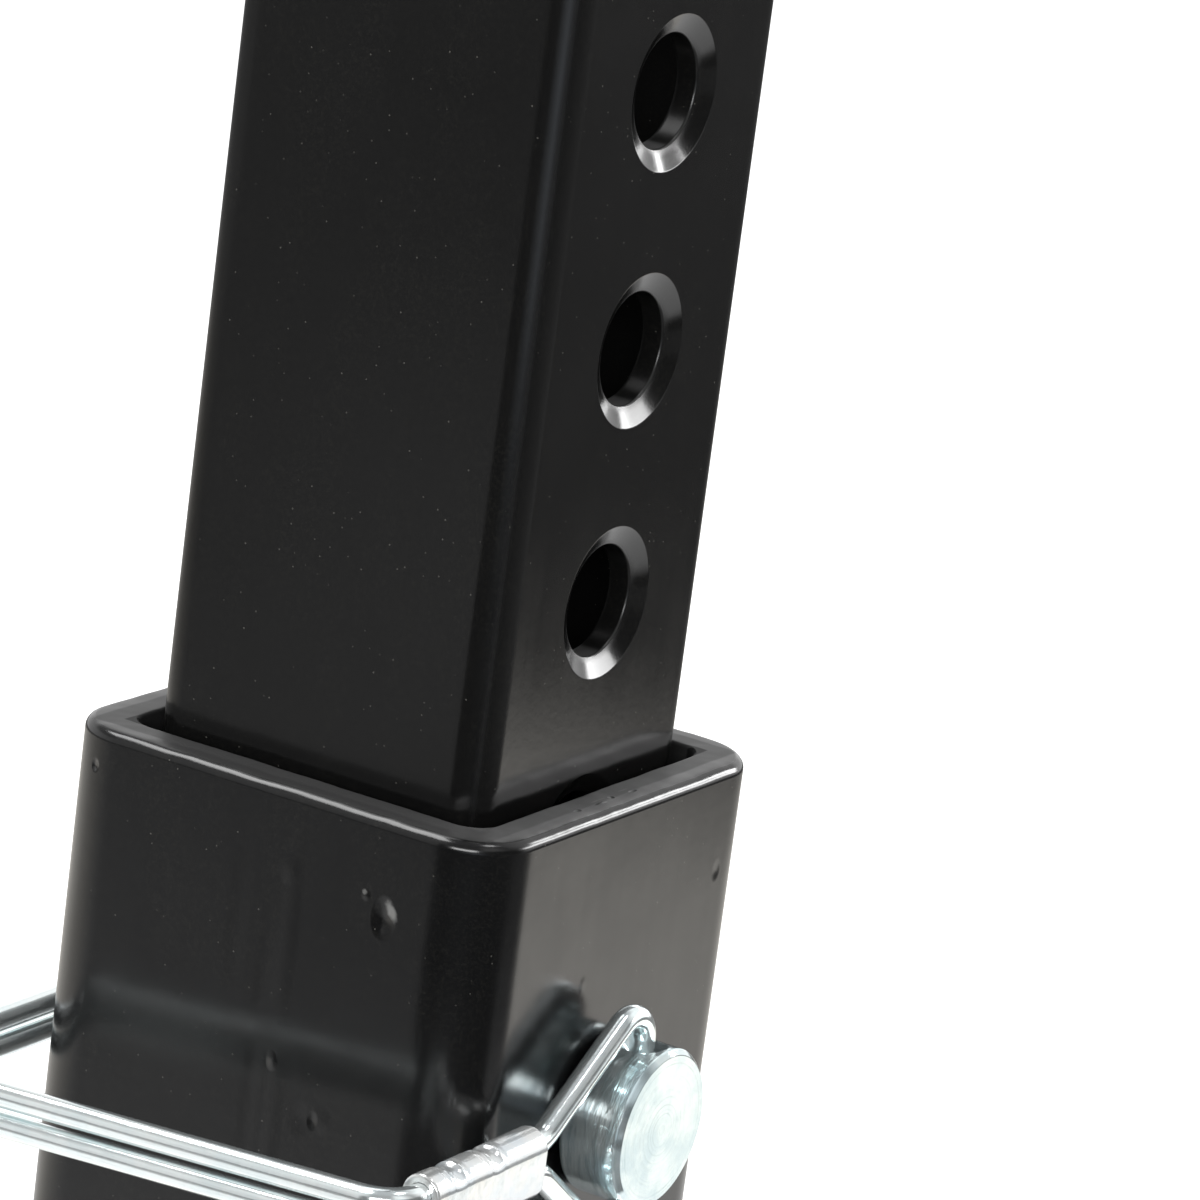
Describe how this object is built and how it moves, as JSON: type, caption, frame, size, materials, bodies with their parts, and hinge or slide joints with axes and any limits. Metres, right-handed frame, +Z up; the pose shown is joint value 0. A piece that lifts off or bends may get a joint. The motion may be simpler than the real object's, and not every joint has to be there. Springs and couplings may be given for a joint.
{
  "type": "hitch receiver extender",
  "caption": "Square steel tube telescoping in a larger square tube, with a row of countersunk holes and a wire-lock pin that sets its length.",
  "frame": {"origin": "centre of the outer tube's lower end, on the tubes' common axis", "axes": "+Z up along both tubes, Y along the lock pin with its head on the -Y side, and the wire bail round the -X side"},
  "size_m": [0.0684, 0.067, 0.4049],
  "materials": {
    "gloss_black_coat": "gloss black powder coat",
    "satin_black_coat": "satin black powder coat with pale dust specks",
    "zinc_pin": "bright zinc plate with turning marks",
    "zinc_wire": "bright zinc-plated spring wire",
    "zinc_ferrule": "bright zinc-plated crimped sleeve"
  },
  "bodies": {
    "sleeve": {"outer_tube": "gloss_black_coat"},
    "bar": {"inner_tube": "satin_black_coat"},
    "pin": {"lock_pin": "zinc_pin"},
    "bail": {"wire_bail": "zinc_wire", "bail_ferrule": "zinc_ferrule"}
  },
  "joints": [
    {"name": "bar_slide", "type": "slide", "parent": "sleeve", "child": "bar", "axis": [0, 0, 1], "range_m": [-0.1, 0.05]},
    {"name": "pin_pull", "type": "slide", "parent": "sleeve", "child": "pin", "axis": [0, -1, 0], "range_m": [0, 0.062]},
    {"name": "bail_swing", "type": "hinge", "parent": "pin", "child": "bail", "pos_m": [0, -0.0295, 0.2732], "axis": [0, 0, 1], "range_deg": [0, 180], "deforming": ["wire_bail"]}
  ]
}
